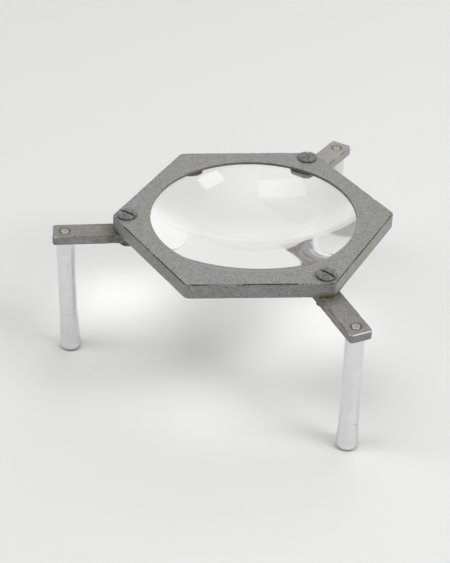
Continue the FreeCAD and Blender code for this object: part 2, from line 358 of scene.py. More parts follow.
# Flat on top, a short straight edge, and below it part of a sphere, whose height is
# centre - sqrt(curve^2 - r^2)
def makeLens(shape):
    centre = lensBottom + shape["curve"]
    rim = shape["radius"] - shape["bevel"]
    curveRadius = rim * np.sin(np.linspace(math.pi / 2, 0, 110))
    curve = np.stack([curveRadius, centre - np.sqrt(shape["curve"] ** 2 - curveRadius ** 2)], 1)
    edgeLow = lensTop - shape["edge"] + shape["bevel"]
    profile = np.concatenate([
        rowsBetween((0, lensTop), (rim, lensTop), 24),
        rowsBetween((shape["radius"], lensTop - shape["bevel"]), (shape["radius"], edgeLow), 6),
        curve,
    ])
    return makePiece("readingLens", [spun(profile, 288)], shape["sharpAngle"])


readingLens = makeLens(lensShape)
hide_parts("lens")
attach(readingLens, "lens_frame")
print("lens", len(readingLens.data.polygons), "faces")


# Arms and clips are flat bars. Small knocks push their edges in.
barEdges = {"step": 0.1, "lump": 1.7, "level": 0.3, "gain": 1.8, "reach": 0.6}
armShape = {
    "tail": 8.9, "leg": 28.1, "end": 33.7, "halfWidth": 5.25, "tailRound": 2.6, "endRound": 1.7,
    "edgeRound": 0.3, "pivotHole": 2.46, "rivetHole": 2.02, "rivetSeat": 2.65, "seatDepth": 0.6,
    "nick": 0.14, "seed": 21, "clearance": 0.02, "edgeReach": 0.6,
}


# The outline of a bar along X: four straight sides joined by arcs
def barOutline(x0, x1, half, round0, round1, sideSteps, cornerSteps):
    corners = [(x1 - round1, half - round1, round1), (x0 + round0, half - round0, round0),
               (x0 + round0, round0 - half, round0), (x1 - round1, round1 - half, round1)]
    arcs = [cornerArc((x, y), roundness, np.radians(np.linspace(90 * k, 90 * k + 90, cornerSteps)))
            for k, (x, y, roundness) in enumerate(corners)]
    return joinArcs(arcs, (sideSteps, sideSteps // 4) * 2)


# A flat bar: rows run from its middle line over the top, round the edges and back under to that line
def flatBar(outline, outward, shape, bottom, top, seed):
    half, roundness, step = shape["halfWidth"], shape["edgeRound"], barEdges["step"]
    x0, x1 = outline[:, 0].min(), outline[:, 0].max()
    spine = np.stack([np.clip(outline[:, 0], x0 + half, x1 - half), 0 * outline[:, 1]], 1)
    border = outline - outward * (roundness + step)
    inset, drop = edgeRound(roundness, 6)
    rows = [atHeight(spine * (1 - t) + border * t, top) for t in np.linspace(0, 1, 7)]
    rows += [atHeight(outline - outward * d, top - z) for d, z in zip(inset, drop)]
    rows += [atHeight(outline, z) for z in np.linspace(top - roundness - step, bottom + roundness + step, 7)]
    rows += [atHeight(outline - outward * d, bottom + z) for d, z in zip(inset[::-1], drop[::-1])]
    rows += [atHeight(spine * (1 - t) + border * t, bottom) for t in np.linspace(1, 0, 7)]
    grid = np.stack(rows)
    knock = np.clip(lumpy(grid + seed, barEdges["lump"], seed) - barEdges["level"], 0, 1)
    fromSide = np.abs(((grid[..., :2] - outline) * outward).sum(-1))
    fromFace = np.minimum(top - grid[..., 2], grid[..., 2] - bottom)
    push = shape["nick"] * np.clip(knock * barEdges["gain"], 0, 1) * nearness(fromSide, fromFace, barEdges["reach"])
    pushIn(grid, outward, push, (top + bottom) / 2)
    return grid


# An arm with a bore for its screw, and for the leg a hole whose upper edge is widened to a cone
def makeArm(name, support, shape, seed):
    outline, outward = barOutline(-shape["tail"], shape["end"], shape["halfWidth"], shape["tailRound"],
                                  shape["endRound"], 96, 10)
    grid = flatBar(outline, outward, shape, armBottom + shape["clearance"], armTop - shape["clearance"], seed)
    arm = makePiece("arm" + name.capitalize(), [(turned(grid, support["outward"], support["pivot"]), False, True)])
    low, high = armBottom - cutPast, armTop + cutPast
    rivet = [(0, low), (shape["rivetHole"], low), (shape["rivetHole"], armTop - shape["seatDepth"]),
             (shape["rivetSeat"], armTop), (shape["rivetSeat"], high), (0, high)]
    bore = boreProfile(shape["pivotHole"], armBottom, armTop)
    cutAway(arm, makePiece("armHoles", [spun(bore, 48, support["pivot"]), spun(rivet, 64, support["leg"])]))
    return arm


# How near each point is to the arm's top edge, and how far the arm is polished
def markArm(piece, support, shape):
    places = storeOwnPlace(piece, support["pivot"], support["outward"])
    fromSide = np.minimum(shape["halfWidth"] - np.abs(places[:, 1]), shape["end"] - places[:, 0])
    topEdge = nearness(np.clip(fromSide, 0, None), armTop - places[:, 2], shape["edgeReach"])
    storeValues(piece, "topEdge", topEdge)
    storeValues(piece, "polish", np.full(len(places), support["polish"]))


# Legs
legShape = {
    "length": 60.3, "radius": 4.15, "straight": 30.0, "footRadius": 4.95, "footRound": 1.5,
    "shoulder": 0.3, "spigot": 2.0, "sunk": 0.1, "rivetRound": 0.35, "dimple": 0.95, "dimpleDepth": 0.25,
    "step": 0.1,
}


# A straight rod that spreads towards its foot, with a riveted end that comes up through the arm. Below
# the straight part its radius is r + flare - sqrt(flare^2 - d^2) at the depth d, an arc that starts upright.
def makeLeg(name, support, shape):
    length, radius, spigot, step = shape["length"], shape["radius"], shape["spigot"], shape["step"]
    flareTop = length - shape["straight"]
    flareHeight = flareTop - shape["footRound"]
    spread = shape["footRadius"] - radius
    flare = (flareHeight ** 2 + spread ** 2) / (2 * spread)
    below = np.linspace(flareHeight, 0, 40)
    flareRows = np.stack([radius + flare - np.sqrt(flare ** 2 - below ** 2), flareTop - below], 1)
    footInset, footRise = edgeRound(shape["footRound"], 14)
    foot = np.stack([shape["footRadius"] - footInset, footRise], 1)
    rivetTop = armTop - shape["sunk"]
    rivetInset, rivetDrop = edgeRound(shape["rivetRound"], 7)
    rivet = np.stack([spigot - rivetInset[::-1], rivetTop - rivetDrop[::-1]], 1)
    dish = np.linspace(shape["dimple"], 0, 8)
    dimple = np.stack([dish, rivetTop - shape["dimpleDepth"] * (1 - (dish / shape["dimple"]) ** 2)], 1)
    profile = np.concatenate([
        rowsBetween((0, 0), (shape["footRadius"] - shape["footRound"] - step, 0), 5),
        foot, flareRows,
        rowsBetween((radius, flareTop + 1), (radius, length - shape["shoulder"]), 16),
        rowsBetween((radius - shape["shoulder"], length), (spigot, length), 4),
        rowsBetween((spigot, length + step), (spigot, rivetTop - shape["rivetRound"] - step), 6),
        rivet,
        rowsBetween((spigot - shape["rivetRound"] - step / 2, rivetTop), (shape["dimple"] + step / 2, rivetTop), 4),
        dimple,
    ])
    return makePiece("leg" + name.capitalize(), [spun(profile, 128, support["leg"])])


for number, (name, support) in enumerate(supports.items()):
    arm = makeArm(name, support, armShape, armShape["seed"] + number)
    support["armPiece"] = arm
    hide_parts("arm_" + name)
    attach(arm, name + "_support")
    markArm(arm, support, armShape)
    leg = makeLeg(name, support, legShape)
    support["legPiece"] = leg
    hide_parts("leg_" + name)
    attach(leg, name + "_support")
    storeOwnPlace(leg, support["leg"], support["outward"])
print("arms and legs")


# Screws: a slotted head, a shank with its thread, and a bevelled end. Heights count up from under the head.
slotLip = 0.14  # how far the slot's upper edges are rounded
slotWall = 0.03  # how far the slot's walls lean in towards its floor
threadFade = 0.5  # the height over which the thread's start deepens
threadSteps = 14  # rows for each turn of a screw's thread
screwSharpAngle = 28.0
pivotScrewShape = {
    "head": 4.55, "side": 1.25, "dome": 0.65, "headRound": 0.22, "slot": 0.9, "slotDepth": 1.1,
    "shank": 2.4, "thread": 0.32, "pitch": 0.8, "threadLength": 6.4, "tipBevel": 0.3,
}
clipScrewShape = {
    "head": 2.8, "side": 1.9, "dome": 0.0, "headRound": 0.3, "slot": 0.8, "slotDepth": 0.9,
    "shank": 1.5, "thread": 0.2, "pitch": 0.5, "threadLength": 3.0, "tipBevel": 0.375, "tip": -3.6,
}


# How far a thread's groove has closed at a height and an angle: 0 at its root and 1 at its crest
def threadWave(z, pitch, angle):
    return np.abs(2 * ((z / pitch - angle / (2 * math.pi)) % 1) - 1)


# The head's top is a height over rows of constant y: x is a share of the half row sqrt(R^2 - y^2), the
# height falls with r^2 as the dome does, and rows inside the slot lie on its floor. The rows' ends make
# a rim, which then goes round the head's edge, down its side and in to the shank.
def slottedScrew(shape, tipDepth):
    top = shape["side"] + shape["dome"]
    radius = shape["head"] - shape["headRound"]
    half = shape["slot"] / 2
    lip = np.array([0.0, 0.02, 0.05, 0.09, slotLip])
    outside = radius * np.sin(np.linspace(math.asin((half + slotLip) / radius), math.pi / 2, 26))[1:]
    positive = np.concatenate([[0.0, half / 2, half - slotWall], half + lip, outside])
    y = np.concatenate([-positive[:0:-1], positive])[:, None]
    x = np.sin(np.linspace(-math.pi / 2, math.pi / 2, 41)) * np.sqrt(np.clip(radius ** 2 - y ** 2, 0, None))
    fall = shape["dome"] * (x ** 2 + y ** 2) / shape["head"] ** 2
    edge = np.clip((half + slotLip - np.abs(y)) / slotLip, 0, 1)
    height = top - fall - slotLip * (1 - np.sqrt(np.clip(1 - edge ** 2, 0, 1)))
    height = np.where(np.abs(y) < half - slotWall / 2, top - shape["slotDepth"] + 0 * x, height)
    cap = np.stack([x, y + 0 * x, height], -1)

    rim = np.concatenate([cap[:, -1], cap[-2:0:-1, 0]])
    around = rim[:, :2] / np.maximum(np.linalg.norm(rim[:, :2], axis=1, keepdims=True), 1e-9)
    rows = [rim]
    inset, drop = edgeRound(shape["headRound"], 5)
    for d, z in zip(inset[1:], drop[1:]):
        rows.append(np.concatenate([around * (shape["head"] - d), rim[:, 2:] - z], 1))
    last = rows[-1]
    for t in (0.1, 0.5, 1.0):
        rows.append(np.concatenate([last[:, :2], last[:, 2:] * (1 - t)], 1))

    angle = np.arctan2(around[:, 1], around[:, 0])
    threadTop = tipDepth + shape["threadLength"]
    plain = np.linspace(0, threadTop, 4) if threadTop < 0 else np.array([0.0])
    steps = int(shape["threadLength"] / shape["pitch"] * threadSteps)
    threaded = np.linspace(plain[-1], tipDepth + shape["tipBevel"], steps)[1:]
    for z in np.concatenate([plain, threaded]):
        depth = shape["thread"] * (1 - threadWave(z, shape["pitch"], angle))
        depth = depth * smoothStep(0, threadFade, plain[-1] - z)
        rows.append(atHeight(around * (shape["shank"] - depth[:, None]), z))
    root = shape["shank"] - shape["thread"]
    rows += [atHeight(around * r, tipDepth) for r in (shape["shank"] - shape["tipBevel"], 0.5 * root, 0.0)]
    return cap, np.stack(rows)


# Sets a screw on its seat. A flip of (1, -1, -1) drives it upwards.
def makeScrew(name, shape, tipDepth, seat, angle, about, flip):
    cap, wall = (turned(grid * np.array(flip) + np.array([0, 0, seat]), angle, about)
                 for grid in slottedScrew(shape, tipDepth))
    return makePiece(name, [(cap, False, False), (wall, False, True)], screwSharpAngle)


def makePivotScrew(name, support):
    return makeScrew("pivotScrew" + name.capitalize(), pivotScrewShape, screwTip - frameTop, frameTop,
                     support["slot"], support["pivot"], (1, 1, 1))


def makeClipScrew(name, clip):
    return makeScrew("clipScrew" + name.capitalize(), clipScrewShape, clipScrewShape["tip"],
                     frameBottom - clipShape["thickness"], clip["slot"], clip["screw"], (1, -1, -1))


# Washers and nuts
washerShape = {"radius": 4.3, "hole": 2.5, "round": 0.12}
nutShape = {
    "acrossFlats": 7.2, "chamfer": 0.4, "cone": (0.06, 0.08), "hole": 2.42, "mouth": 0.25, "mouthDepth": 0.2,
    "thread": 0.18, "pitch": 0.8, "columns": 144, "threadRows": 44, "sharpAngle": 24.0,
}


# A flat ring with all four edges rounded
def makeWasher(name, support, shape):
    inset, drop = edgeRound(shape["round"], 4)
    profile = np.concatenate([
        np.stack([shape["radius"] - inset, armBottom - drop], 1),
        np.stack([shape["radius"] - inset[::-1], washerBottom + drop[::-1]], 1),
        np.stack([shape["hole"] + inset, washerBottom + drop], 1),
        np.stack([shape["hole"] + inset[::-1], armBottom - drop[::-1]], 1),
    ])
    return makePiece("pivotWasher" + name.capitalize(), [spun(profile, 96, support["pivot"], True)])


# The nut's outside is the lesser of the hexagon's radius, flat / cos(a), and the chamfer's cone
def makeNut(name, support, shape):
    top, bottom, columns = washerBottom, nutBottom, shape["columns"]
    flat = shape["acrossFlats"] / 2
    corner = flat / math.cos(math.radians(30))
    angle = np.linspace(0, 2 * math.pi, columns, endpoint=False)
    fromFlat = (angle + math.pi / 6) % (math.pi / 3) - math.pi / 6
    hexagon = flat / np.cos(math.pi / 6 - np.abs(fromFlat))
    steps = np.concatenate([np.linspace(0, shape["chamfer"], 7), [shape["chamfer"] + 0.1]])
    start, past = shape["cone"]
    rows = []
    for z in np.concatenate([top - steps, bottom + steps[::-1]]):
        cone = flat - start + (corner - flat + past) * min(top - z, z - bottom) / shape["chamfer"]
        rows.append((np.minimum(hexagon, cone), z))
    mouth = np.full(columns, shape["hole"] + shape["mouth"])
    rows.append((mouth, bottom))
    for z in np.linspace(bottom + shape["mouthDepth"], top - shape["mouthDepth"], shape["threadRows"]):
        rows.append((shape["hole"] + shape["thread"] * threadWave(z, shape["pitch"], angle), z))
    rows.append((mouth, top))
    grid = np.stack([np.stack([r * np.cos(angle), r * np.sin(angle), z + 0 * angle], -1) for r, z in rows])
    placed = turned(grid, support["nut"], support["pivot"])
    return makePiece("pivotNut" + name.capitalize(), [(placed, True, True)], shape["sharpAngle"])


# Clips
clipShape = {
    "thickness": 1.2, "halfWidth": 4.5, "tip": 47.1, "bend": 49.7, "screw": 55.0,
    "edgeRound": 0.18, "hole": 1.6, "nick": 0.06, "seed": 60,
}


# A strip with round ends, whose inner end is bent up in a straight line to the lens
def makeClip(name, clip, shape):
    half = shape["halfWidth"]
    outline, outward = barOutline(shape["tip"], shape["screw"] + half, half, half, half, 60, 22)
    grid = flatBar(outline, outward, shape, frameBottom - shape["thickness"], frameBottom, shape["seed"])
    along = (shape["bend"] - grid[..., 0]) / (shape["bend"] - shape["tip"])
    grid[..., 2] += (heightsOf("lens_clip_right")[1] - frameBottom) * np.clip(along, 0, 1)
    piece = makePiece("lensClip" + name.capitalize(), [(turned(grid, clip["corner"], (0, 0)), False, True)])
    bore = boreProfile(shape["hole"], frameBottom - shape["thickness"], frameBottom)
    cutAway(piece, makePiece("clipHole", [spun(bore, 40, clip["screw"])]))
    return piece


for name, support in supports.items():
    for kind, make, slotName in (
        ("pivot_screw_", makePivotScrew(name, support), "screw"),
        ("pivot_washer_", makeWasher(name, support, washerShape), "washer"),
        ("pivot_nut_", makeNut(name, support, nutShape), "nut"),
    ):
        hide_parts(kind + name)
        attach(make, "lens_frame")
        storeOwnPlace(make, support["pivot"], support["slot"])
        support[slotName + "Piece"] = make
for name, clip in clips.items():
    for kind, make, slotName, about, angle in (
        ("lens_clip_", makeClip(name, clip, clipShape), "clip", (0, 0), clip["corner"]),
        ("clip_screw_", makeClipScrew(name, clip), "clip_screw", clip["screw"], clip["slot"]),
    ):
        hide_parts(kind + name)
        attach(make, "lens_frame")
        storeOwnPlace(make, about, angle)
        clip[slotName + "Piece"] = make
print("screws, washers, nuts and clips")


# Materials
def addNode(tree, kind, inputs=None, **settings):
    made = tree.nodes.new(kind)
    for key, value in settings.items():
        setattr(made, key, value)
    for key, value in (inputs or {}).items():
        if isinstance(value, bpy.types.NodeSocket):
            tree.links.new(value, made.inputs[key])
        else:
            made.inputs[key].default_value = value
    return made


# A ramp from value to colour: stops are (position, grey or colour)
def addRamp(tree, value, stops):
    made = addNode(tree, "ShaderNodeValToRGB", {"Fac": value})
    ramp = made.color_ramp
    while len(ramp.elements) < len(stops):
        ramp.elements.new(0.5)
    for element, (position, colour) in zip(ramp.elements, stops):
        element.position = position
        element.color = (*colour, 1) if isinstance(colour, tuple) else (colour, colour, colour, 1)
    return made.outputs["Color"]


# Between two levels of a value, goes evenly from least to most
def addLevels(tree, value, levels, least=0.0, most=1.0):
    return addRamp(tree, value, [(levels[0], least), (levels[1], most)])


def addNoise(tree, place, scale, detail=2.0, roughness=0.5):
    inputs = {"Vector": place, "Scale": scale, "Detail": detail, "Roughness": roughness}
    return addNode(tree, "ShaderNodeTexNoise", inputs).outputs["Fac"]


# A pattern in a dictionary: its noise (scale, detail, roughness), the levels that it is taken between,
# and the greys or colours of the two, if they aren't 0 and 1
def addPattern(tree, place, pattern):
    noise = addNoise(tree, place, *pattern["noise"])
    return addLevels(tree, noise, pattern["levels"], pattern.get("least", 0.0), pattern.get("most", 1.0))


def mixColours(tree, share, first, second, blend="MIX"):
    made = tree.nodes.new("ShaderNodeMix")
    made.data_type, made.blend_type = "RGBA", blend
    for socket, value in ((made.inputs[0], share), (made.inputs[6], first), (made.inputs[7], second)):
        if isinstance(value, bpy.types.NodeSocket):
            tree.links.new(value, socket)
        elif isinstance(value, tuple):
            socket.default_value = (*value, 1)
        else:
            socket.default_value = value
    return made.outputs[2]


def tinted(tree, colour, tint):
    return mixColours(tree, 1.0, colour, tint, "MULTIPLY")


def mixShaders(tree, share, first, second):
    return addNode(tree, "ShaderNodeMixShader", {0: share, 1: first, 2: second}).outputs[0]


# Takes any number of values in a row, two at a time
def doMath(tree, operation, first, *others):
    for other in others:
        first = addNode(tree, "ShaderNodeMath", {0: first, 1: other}, operation=operation).outputs[0]
    return first


def weighted(tree, *pairs):
    return doMath(tree, "ADD", *(doMath(tree, "MULTIPLY", value, weight) for value, weight in pairs))


def vectorMath(tree, operation, first, second=(0, 0, 0)):
    made = addNode(tree, "ShaderNodeVectorMath", {0: first, 1: second}, operation=operation)
    return made.outputs["Value" if operation == "LENGTH" else "Vector"]


def mapRange(tree, value, between, to=(0.0, 1.0), smooth=False):
    inputs = {"Value": value, "From Min": between[0], "From Max": between[1], "To Min": to[0], "To Max": to[1]}
    kind = "SMOOTHSTEP" if smooth else "LINEAR"
    return addNode(tree, "ShaderNodeMapRange", inputs, interpolation_type=kind).outputs[0]


def stretched(tree, place, scale, turn=0.0):
    inputs = {"Vector": place, "Rotation": (0, 0, turn), "Scale": scale}
    return addNode(tree, "ShaderNodeMapping", inputs).outputs["Vector"]


# Object coordinates in millimetres
def placeInMillimetres(tree):
    coordinates = tree.nodes.new("ShaderNodeTexCoord")
    return stretched(tree, coordinates.outputs["Object"], (1000, 1000, 1000))


def readStored(tree, name, kind="Fac"):
    return addNode(tree, "ShaderNodeAttribute", attribute_name=name).outputs[kind]


# 1 for a ray from the camera, or one that shows in a mirror image or through glass
def seenRays(tree):
    rays = tree.nodes.new("ShaderNodeLightPath").outputs
    return doMath(tree, "MAXIMUM", rays["Is Camera Ray"], rays["Is Glossy Ray"], rays["Is Transmission Ray"])


def newFinish(name):
    material = bpy.data.materials.new(name)
    material.use_nodes = True
    tree = material.node_tree
    tree.nodes.clear()
    shader = tree.nodes.new("ShaderNodeBsdfPrincipled")
    output = tree.nodes.new("ShaderNodeOutputMaterial")
    tree.links.new(shader.outputs[0], output.inputs["Surface"])
    return material, tree, shader


# Shows a mix of shaders in place of the plain one. What glows in it lights nothing else.
def showInstead(material, surface):
    tree = material.node_tree
    output = next(node for node in tree.nodes if node.type == "OUTPUT_MATERIAL")
    tree.links.new(surface, output.inputs["Surface"])
    material.cycles.emission_sampling = "NONE"


def setOn(tree, shader, **values):
    names = {"colour": "Base Color", "metallic": "Metallic", "roughness": "Roughness",
             "specular": "Specular IOR Level", "ior": "IOR", "transmission": "Transmission Weight"}
    for key, value in values.items():
        socket = shader.inputs[names[key]]
        if isinstance(value, bpy.types.NodeSocket):
            tree.links.new(value, socket)
        else:
            socket.default_value = (*value, 1) if isinstance(value, tuple) else value


# The last steps of the paint and of each metal: roughness follows a value, and bumps follow a height
def finishSurface(tree, shader, look, colour, value, height):
    rough = mapRange(tree, value, (0.0, 1.0), look["roughness"])
    setOn(tree, shader, colour=colour, metallic=look["metallic"], roughness=rough)
    inputs = {"Height": height, "Strength": look["bump"], "Distance": look["bumpDepth"] * millimetre}
    tree.links.new(addNode(tree, "ShaderNodeBump", inputs).outputs["Normal"], shader.inputs["Normal"])


framePaint = {
    "dark": (0.19, 0.19, 0.18), "light": (0.375, 0.377, 0.365), "speck": (0.03, 0.029, 0.025),
    "worn": (0.022, 0.018, 0.015), "grimeAndShade": (0.09, 0.08, 0.048),
    "grain": (1.5, 4.0, 0.62), "grainLevels": (0.33, 0.68),
    "mottle": (0.32, 3.0, 0.55), "mottleLevels": (0.3, 0.7), "mottleDark": 0.86,
    "broad": {"noise": (0.03, 2.0), "levels": (0.3, 0.7), "least": (0.95, 0.96, 0.97), "most": (1.0, 0.99, 0.96)},
    "speckScale": 0.85, "speckRim": (0.14, 0.25), "speckPatches": {"noise": (0.55, 2.0), "levels": (0.43, 0.52)},
    "wornRim": (0.36, 0.56), "wornLong": (0.045, 2.0), "longShare": 0.55, "wornShort": (0.9, 3.0, 0.6),
    "shortShare": 0.45, "wornLevels": (0.435, 0.485),
    "chipRim": (0.05, 0.25), "chips": {"noise": (1.2, 2.0), "levels": (0.6, 0.66)},
    "grimeAndShadePatches": {"noise": (0.4, 3.0), "levels": (0.3, 0.65), "least": 0.4, "most": 0.95},
    "metallic": 0.0, "roughness": (0.33, 0.5), "bump": 0.35, "bumpDepth": 0.09, "bumpShares": (0.7, 0.6),
}


def makeFramePaint(look):
    material, tree, shader = newFinish("speckledFramePaint")
    place = placeInMillimetres(tree)
    grain = addNoise(tree, place, *look["grain"])
    mottle = addNoise(tree, place, *look["mottle"])
    colour = addLevels(tree, grain, look["grainLevels"], look["dark"], look["light"])
    colour = tinted(tree, colour, addLevels(tree, mottle, look["mottleLevels"], look["mottleDark"]))
    colour = tinted(tree, colour, addPattern(tree, place, look["broad"]))
    cells = addNode(tree, "ShaderNodeTexVoronoi", {"Vector": place, "Scale": look["speckScale"], "Randomness": 1.0})
    dots = addLevels(tree, cells.outputs["Distance"], look["speckRim"], 1.0, 0.0)
    specks = doMath(tree, "MULTIPLY", dots, addPattern(tree, place, look["speckPatches"]))
    colour = mixColours(tree, specks, colour, look["speck"])
    edge = readStored(tree, "topEdge")
    along = weighted(tree, (addNoise(tree, place, *look["wornLong"]), look["longShare"]),
                     (addNoise(tree, place, *look["wornShort"]), look["shortShare"]))
    worn = doMath(tree, "MULTIPLY", addLevels(tree, edge, look["wornRim"]), addLevels(tree, along, look["wornLevels"]))
    chips = doMath(tree, "MULTIPLY", addLevels(tree, edge, look["chipRim"]), addPattern(tree, place, look["chips"]))
    colour = mixColours(tree, doMath(tree, "MAXIMUM", worn, chips), colour, look["worn"])
    # grime with painted shade: darker and browner low on the frame by each pivot
    grimeAndShade = doMath(tree, "MULTIPLY", readStored(tree, "grimeAndShade"), addPattern(tree, place, look["grimeAndShadePatches"]))
    colour = mixColours(tree, grimeAndShade, colour, look["grimeAndShade"])
    grainShare, mottleShare = look["bumpShares"]
    height = doMath(tree, "SUBTRACT", weighted(tree, (grain, grainShare), (mottle, mottleShare)), specks)
    finishSurface(tree, shader, look, colour, grain, height)
    return material


armMetal = {
    "dark": (0.18, 0.177, 0.166), "light": (0.37, 0.366, 0.342), "bright": (0.6, 0.59, 0.56),
    "stainAndShade": (0.10, 0.094, 0.06), "ring": (0.1, 0.098, 0.088), "edge": (0.05, 0.048, 0.042), "wornEdgeHighlight": (0.9, 0.9, 0.88),
    "lineScale": (0.22, 2.6, 2.6), "lines": (1.0, 4.0, 0.6), "lineShare": 0.5,
    "grain": (1.4, 3.0, 0.6), "grainShare": 0.5, "grainLevels": (0.36, 0.66),
    "patches": {"noise": (0.16, 3.0), "levels": (0.3, 0.7), "least": (0.84, 0.83, 0.8), "most": (1.0, 1.0, 1.0)},
    "stainAndShadeReach": (13.0, 6.5),
    "stainAndShadePatches": {"noise": (0.45, 3.0), "levels": (0.35, 0.65), "least": 0.2, "most": 0.9},
    "scratchScale": (0.12, 4.5, 1.0), "scratchTurn": 0.9,
    "scratches": {"noise": (1.0, 2.0), "levels": (0.68, 0.74), "most": 0.5},
    "ringReach": (3.0, 2.7), "ringShare": 0.55, "edgeRim": (0.3, 0.6), "wornEnd": (31.2, 32.4), "wornEdgeHighlightShare": 0.8,
    "edgePatches": {"noise": (0.35, 3.0), "levels": (0.52, 0.58), "most": 0.7},
    "metallic": 0.35, "roughness": (0.36, 0.58), "bump": 0.3, "bumpDepth": 0.05,
}


# Drawn bar: lines along it, a stain with painted shade where it goes in under the frame, a ring of painted shade round
# the rivet, and edges that are worn bright at the outer end, with a painted highlight there, and broken dark elsewhere
def makeArmMetal(look):
    material, tree, shader = newFinish("satinArmMetal")
    place = readStored(tree, "ownPlace", "Vector")
    lines = addNoise(tree, stretched(tree, place, look["lineScale"]), *look["lines"])
    grain = addNoise(tree, place, *look["grain"])
    mixed = weighted(tree, (lines, look["lineShare"]), (grain, look["grainShare"]))
    colour = addLevels(tree, mixed, look["grainLevels"], look["dark"], look["light"])
    colour = tinted(tree, colour, addPattern(tree, place, look["patches"]))
    colour = mixColours(tree, readStored(tree, "polish"), colour, look["bright"])
    along = addNode(tree, "ShaderNodeSeparateXYZ", {0: place}).outputs[0]
    # stain with painted shade: darker towards the pivot, where the arm lies under the frame
    stainAndShade = doMath(tree, "MULTIPLY", mapRange(tree, along, look["stainAndShadeReach"], smooth=True),
                   addPattern(tree, place, look["stainAndShadePatches"]))
    colour = mixColours(tree, stainAndShade, colour, look["stainAndShade"])
    scratchPlace = stretched(tree, place, look["scratchScale"], look["scratchTurn"])
    colour = mixColours(tree, addPattern(tree, scratchPlace, look["scratches"]), colour, look["bright"])
    # painted shade: a dark ring round the rivet's sunken seat
    fromRivet = vectorMath(tree, "SUBTRACT", place, (armShape["leg"], 0, 0))
    fromRivet = vectorMath(tree, "LENGTH", vectorMath(tree, "MULTIPLY", fromRivet, (1, 1, 0)))
    ring = mapRange(tree, fromRivet, look["ringReach"], (0.0, look["ringShare"]))
    colour = mixColours(tree, ring, colour, look["ring"])
    edge = addLevels(tree, readStored(tree, "topEdge"), look["edgeRim"])
    # worn edge with a painted highlight: near white along the top edge at the outer end
    atEnd = mapRange(tree, along, look["wornEnd"])
    colour = mixColours(tree, doMath(tree, "MULTIPLY", edge, look["wornEdgeHighlightShare"], atEnd), colour, look["wornEdgeHighlight"])
    elsewhere = doMath(tree, "SUBTRACT", 1.0, atEnd)
    broken = doMath(tree, "MULTIPLY", edge, elsewhere, addPattern(tree, place, look["edgePatches"]))
    colour = mixColours(tree, broken, colour, look["edge"])
    finishSurface(tree, shader, look, colour, mixed, mixed)
    return material


legMetal = {
    "dark": (0.73, 0.732, 0.737), "light": (0.82, 0.822, 0.827), "foot": (0.36, 0.35, 0.33),
    "rivet": (0.4, 0.4, 0.372), "mark": (0.45, 0.45, 0.44),
    "ringScale": (0.12, 0.12, 5.0), "rings": (1.0, 3.0, 0.6), "ringShare": 0.1,
    "streakScale": (1.6, 1.6, 0.14), "streaks": (1.0, 4.0, 0.6), "patches": (0.3, 3.0), "otherShare": 0.45,
    "grainLevels": (0.38, 0.62),
    "nicks": {"noise": (0.6, 2.0), "levels": (0.7, 0.74), "most": 0.7},
    "footShadeReach": (2.2, 0.2), "rivetWear": (0.4, 0.6), "rivetShare": 0.6,
    "metallic": 1.0, "roughness": (0.1, 0.18), "bump": 0.03, "bumpDepth": 0.02,
}


# Turned rod: fine rings round it, rubbed streaks along it, a few nicks, a foot darkened by painted shade towards the
# floor, and a darker rivet
def makeLegMetal(look):
    material, tree, shader = newFinish("satinLegMetal")
    place = readStored(tree, "ownPlace", "Vector")
    rings = addNoise(tree, stretched(tree, place, look["ringScale"]), *look["rings"])
    streaks = addNoise(tree, stretched(tree, place, look["streakScale"]), *look["streaks"])
    patches = addNoise(tree, place, *look["patches"])
    others = doMath(tree, "ADD", streaks, patches)
    mixed = weighted(tree, (rings, look["ringShare"]), (others, look["otherShare"]))
    colour = addLevels(tree, mixed, look["grainLevels"], look["dark"], look["light"])
    colour = mixColours(tree, addPattern(tree, place, look["nicks"]), colour, look["mark"])
    height = addNode(tree, "ShaderNodeSeparateXYZ", {0: place}).outputs[2]
    # painted shade: the foot darkens towards the floor
    colour = mixColours(tree, mapRange(tree, height, look["footShadeReach"], smooth=True), colour, look["foot"])
    rivet = mixColours(tree, addLevels(tree, streaks, look["rivetWear"]), look["rivet"], look["dark"])
    rivet = mixColours(tree, look["rivetShare"], rivet, look["rivet"])
    inArm = mapRange(tree, height, (legShape["length"], legShape["length"] + 1.0))
    colour = mixColours(tree, inArm, colour, rivet)
    finishSurface(tree, shader, look, colour, mixed, mixed)
    return material


hardware = {
    "grain": (0.7, 4.0, 0.55), "grainLevels": (0.3, 0.7), "bump": 0.25, "bumpDepth": 0.04,
    "rustPatches": {"noise": (0.5, 3.0), "levels": (0.5, 0.72), "most": 0.4},
}
screwSteel = {
    "dark": (0.12, 0.12, 0.12), "light": (0.34, 0.34, 0.335), "rust": (0.13, 0.1, 0.07),
    "metallic": 0.85, "roughness": (0.2, 0.38),
}
nutSteel = {
    "dark": (0.06, 0.06, 0.058), "light": (0.16, 0.155, 0.15), "rust": (0.1, 0.07, 0.045),
    "metallic": 0.8, "roughness": (0.4, 0.6),
}
clipBrass = {
    "dark": (0.20, 0.16, 0.085), "light": (0.38, 0.31, 0.17), "rust": (0.1, 0.08, 0.05),
    "metallic": 0.9, "roughness": (0.35, 0.55),
}


# Plain steel or brass: a soft grain with patches of rust or tarnish
def makeHardwareMetal(name, own):
    look = {**hardware, **own}
    material, tree, shader = newFinish(name)
    place = readStored(tree, "ownPlace", "Vector")
    grain = addNoise(tree, place, *look["grain"])
    colour = addLevels(tree, grain, look["grainLevels"], look["dark"], look["light"])
    colour = mixColours(tree, addPattern(tree, place, look["rustPatches"]), colour, look["rust"])
    finishSurface(tree, shader, look, colour, grain, grain)
    return material


